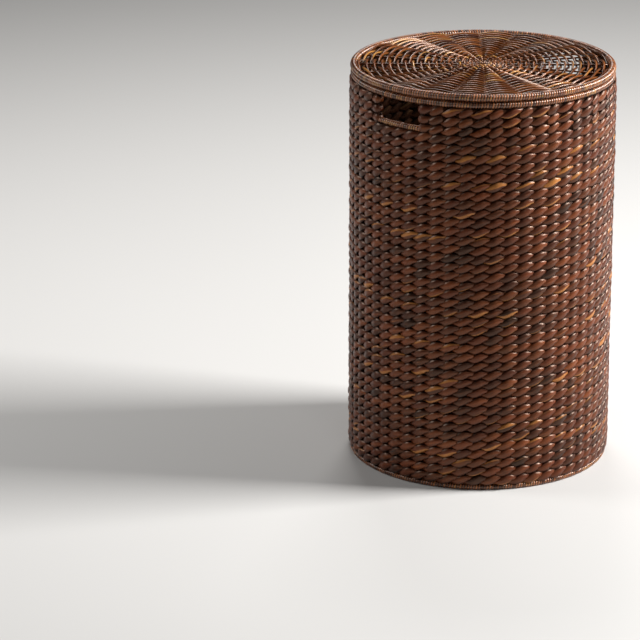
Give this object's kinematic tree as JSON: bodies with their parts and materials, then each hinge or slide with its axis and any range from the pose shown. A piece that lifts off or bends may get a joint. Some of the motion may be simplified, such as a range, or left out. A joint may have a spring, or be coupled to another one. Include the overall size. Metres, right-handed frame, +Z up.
{
  "type": "woven laundry basket",
  "caption": "Tall round laundry basket of thick twined rope on upright stakes, with two hand holes, bound rims and a loose flat lid of woven reed.",
  "frame": {"origin": "on the floor under the middle of the basket", "axes": "+Z up; the hand holes face +X and -X"},
  "size_m": [0.432, 0.432, 0.66],
  "materials": {
    "hyacinth_rope": "satin",
    "floor_rope": "matte",
    "rattan_core": "satin",
    "cane_wrap": "satin",
    "lid_reed": "satin"
  },
  "bodies": {
    "basket": {"stake_frame": "rattan_core", "wall_weave_1": "hyacinth_rope", "wall_weave_2": "hyacinth_rope", "wall_weave_3": "hyacinth_rope", "wall_weave_front": "hyacinth_rope", "wall_weave_back": "hyacinth_rope", "base_binding": "cane_wrap", "rim_hoop": "rattan_core", "rim_binding": "cane_wrap", "hand_hole_bar_left": "rattan_core", "hand_hole_binding_left": "cane_wrap", "hand_hole_bar_right": "rattan_core", "hand_hole_binding_right": "cane_wrap", "floor_spokes": "rattan_core", "floor_weave_inner": "floor_rope", "floor_weave_outer": "floor_rope"},
    "lid": {"lid_hoop": "rattan_core", "lid_edge_binding": "cane_wrap", "lid_spokes": "lid_reed", "lid_weave_inner": "lid_reed", "lid_weave_outer": "lid_reed", "locating_hoop": "rattan_core", "locating_binding": "cane_wrap", "centre_knot": "cane_wrap"}
  },
  "joints": [
    {"name": "lid_lift", "type": "slide", "parent": "basket", "child": "lid", "axis": [0, 0, 1], "range_m": [0, 0.3]}
  ]
}
